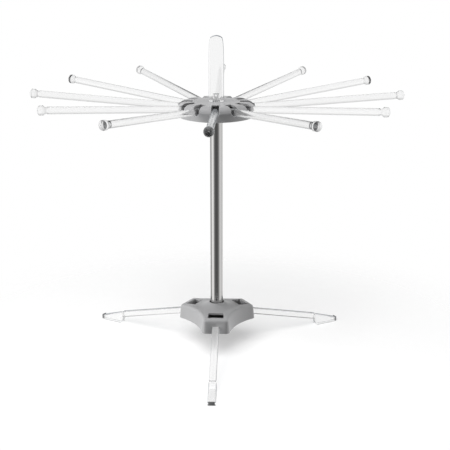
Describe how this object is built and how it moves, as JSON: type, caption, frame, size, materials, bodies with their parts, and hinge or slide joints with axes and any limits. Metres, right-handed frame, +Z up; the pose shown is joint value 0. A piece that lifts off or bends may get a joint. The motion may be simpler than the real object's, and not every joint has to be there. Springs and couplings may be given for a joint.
{
  "type": "pasta drying rack",
  "caption": "Free-standing pasta drying rack: clear folding rods round a slotted hub on a steel column, three folding clear legs and a lift-out transfer wand.",
  "frame": {"origin": "on the floor under the column's axis", "axes": "+Z up along the column; the front rod and the front leg point along -Y, +X to the right"},
  "size_m": [0.4596, 0.4596, 0.4016],
  "materials": {
    "grey_plastic": "moulded mid-grey, fine satin",
    "clear_plastic": "clear moulded polycarbonate, polished",
    "column_steel": "stainless steel tube, fine polish along its length",
    "zinc_steel": "zinc-plated screws",
    "black_plastic": "moulded black",
    "sole_rubber": "grey translucent anti-slip rubber"
  },
  "bodies": {
    "stand": {"base_cover": "grey_plastic", "base_plate": "grey_plastic", "base_screws": "zinc_steel", "column_tube": "column_steel", "column_plug": "black_plastic", "column_screw": "zinc_steel", "hub_upper": "grey_plastic", "hub_lower": "grey_plastic", "hub_screws": "zinc_steel"},
    "rod_01": {"rod_01": "clear_plastic"},
    "rod_02": {"rod_02": "clear_plastic"},
    "rod_03": {"rod_03": "clear_plastic"},
    "rod_04": {"rod_04": "clear_plastic"},
    "rod_05": {"rod_05": "clear_plastic"},
    "rod_06": {"rod_06": "clear_plastic"},
    "rod_07": {"rod_07": "clear_plastic"},
    "rod_08": {"rod_08": "clear_plastic"},
    "rod_09": {"rod_09": "clear_plastic"},
    "rod_10": {"rod_10": "clear_plastic"},
    "rod_11": {"rod_11": "clear_plastic"},
    "rod_12": {"rod_12": "clear_plastic"},
    "leg_front": {"leg_front": "clear_plastic", "foot_front": "clear_plastic", "sole_front": "sole_rubber"},
    "leg_right": {"leg_right": "clear_plastic", "foot_right": "clear_plastic", "sole_right": "sole_rubber"},
    "leg_left": {"leg_left": "clear_plastic", "foot_left": "clear_plastic", "sole_left": "sole_rubber"},
    "wand": {"wand_grip": "clear_plastic", "wand_rod": "clear_plastic"}
  },
  "joints": [
    {"name": "rod_01_fold", "type": "hinge", "parent": "stand", "child": "rod_01", "pos_m": [0, -0.0365, 0.3144], "axis": [-1, 0, 0], "range_deg": [0, 85]},
    {"name": "rod_02_fold", "type": "hinge", "parent": "stand", "child": "rod_02", "pos_m": [0.01825, -0.03161, 0.3144], "axis": [-0.866, -0.5, 0], "range_deg": [0, 85]},
    {"name": "rod_03_fold", "type": "hinge", "parent": "stand", "child": "rod_03", "pos_m": [0.03161, -0.01825, 0.3144], "axis": [-0.5, -0.866, 0], "range_deg": [0, 85]},
    {"name": "rod_04_fold", "type": "hinge", "parent": "stand", "child": "rod_04", "pos_m": [0.0365, 0, 0.3144], "axis": [0, -1, 0], "range_deg": [0, 85]},
    {"name": "rod_05_fold", "type": "hinge", "parent": "stand", "child": "rod_05", "pos_m": [0.03161, 0.01825, 0.3144], "axis": [0.5, -0.866, 0], "range_deg": [0, 85]},
    {"name": "rod_06_fold", "type": "hinge", "parent": "stand", "child": "rod_06", "pos_m": [0.01825, 0.03161, 0.3144], "axis": [0.866, -0.5, 0], "range_deg": [0, 85]},
    {"name": "rod_07_fold", "type": "hinge", "parent": "stand", "child": "rod_07", "pos_m": [0, 0.0365, 0.3144], "axis": [1, 0, 0], "range_deg": [0, 85]},
    {"name": "rod_08_fold", "type": "hinge", "parent": "stand", "child": "rod_08", "pos_m": [-0.01825, 0.03161, 0.3144], "axis": [0.866, 0.5, 0], "range_deg": [0, 85]},
    {"name": "rod_09_fold", "type": "hinge", "parent": "stand", "child": "rod_09", "pos_m": [-0.03161, 0.01825, 0.3144], "axis": [0.5, 0.866, 0], "range_deg": [0, 85]},
    {"name": "rod_10_fold", "type": "hinge", "parent": "stand", "child": "rod_10", "pos_m": [-0.0365, 0, 0.3144], "axis": [0, 1, 0], "range_deg": [0, 85]},
    {"name": "rod_11_fold", "type": "hinge", "parent": "stand", "child": "rod_11", "pos_m": [-0.03161, -0.01825, 0.3144], "axis": [-0.5, 0.866, 0], "range_deg": [0, 85]},
    {"name": "rod_12_fold", "type": "hinge", "parent": "stand", "child": "rod_12", "pos_m": [-0.01825, -0.03161, 0.3144], "axis": [-0.866, 0.5, 0], "range_deg": [0, 85]},
    {"name": "leg_front_fold", "type": "hinge", "parent": "stand", "child": "leg_front", "pos_m": [0, -0.0335, 0.0426], "axis": [1, 0, 0], "range_deg": [0, 75]},
    {"name": "leg_right_fold", "type": "hinge", "parent": "stand", "child": "leg_right", "pos_m": [0.02901, 0.01675, 0.0426], "axis": [-0.5, 0.866, 0], "range_deg": [0, 75]},
    {"name": "leg_left_fold", "type": "hinge", "parent": "stand", "child": "leg_left", "pos_m": [-0.02901, 0.01675, 0.0426], "axis": [-0.5, -0.866, 0], "range_deg": [0, 75]},
    {"name": "wand_lift", "type": "slide", "parent": "stand", "child": "wand", "axis": [0, 0, 1], "range_m": [0, 0.23]}
  ]
}
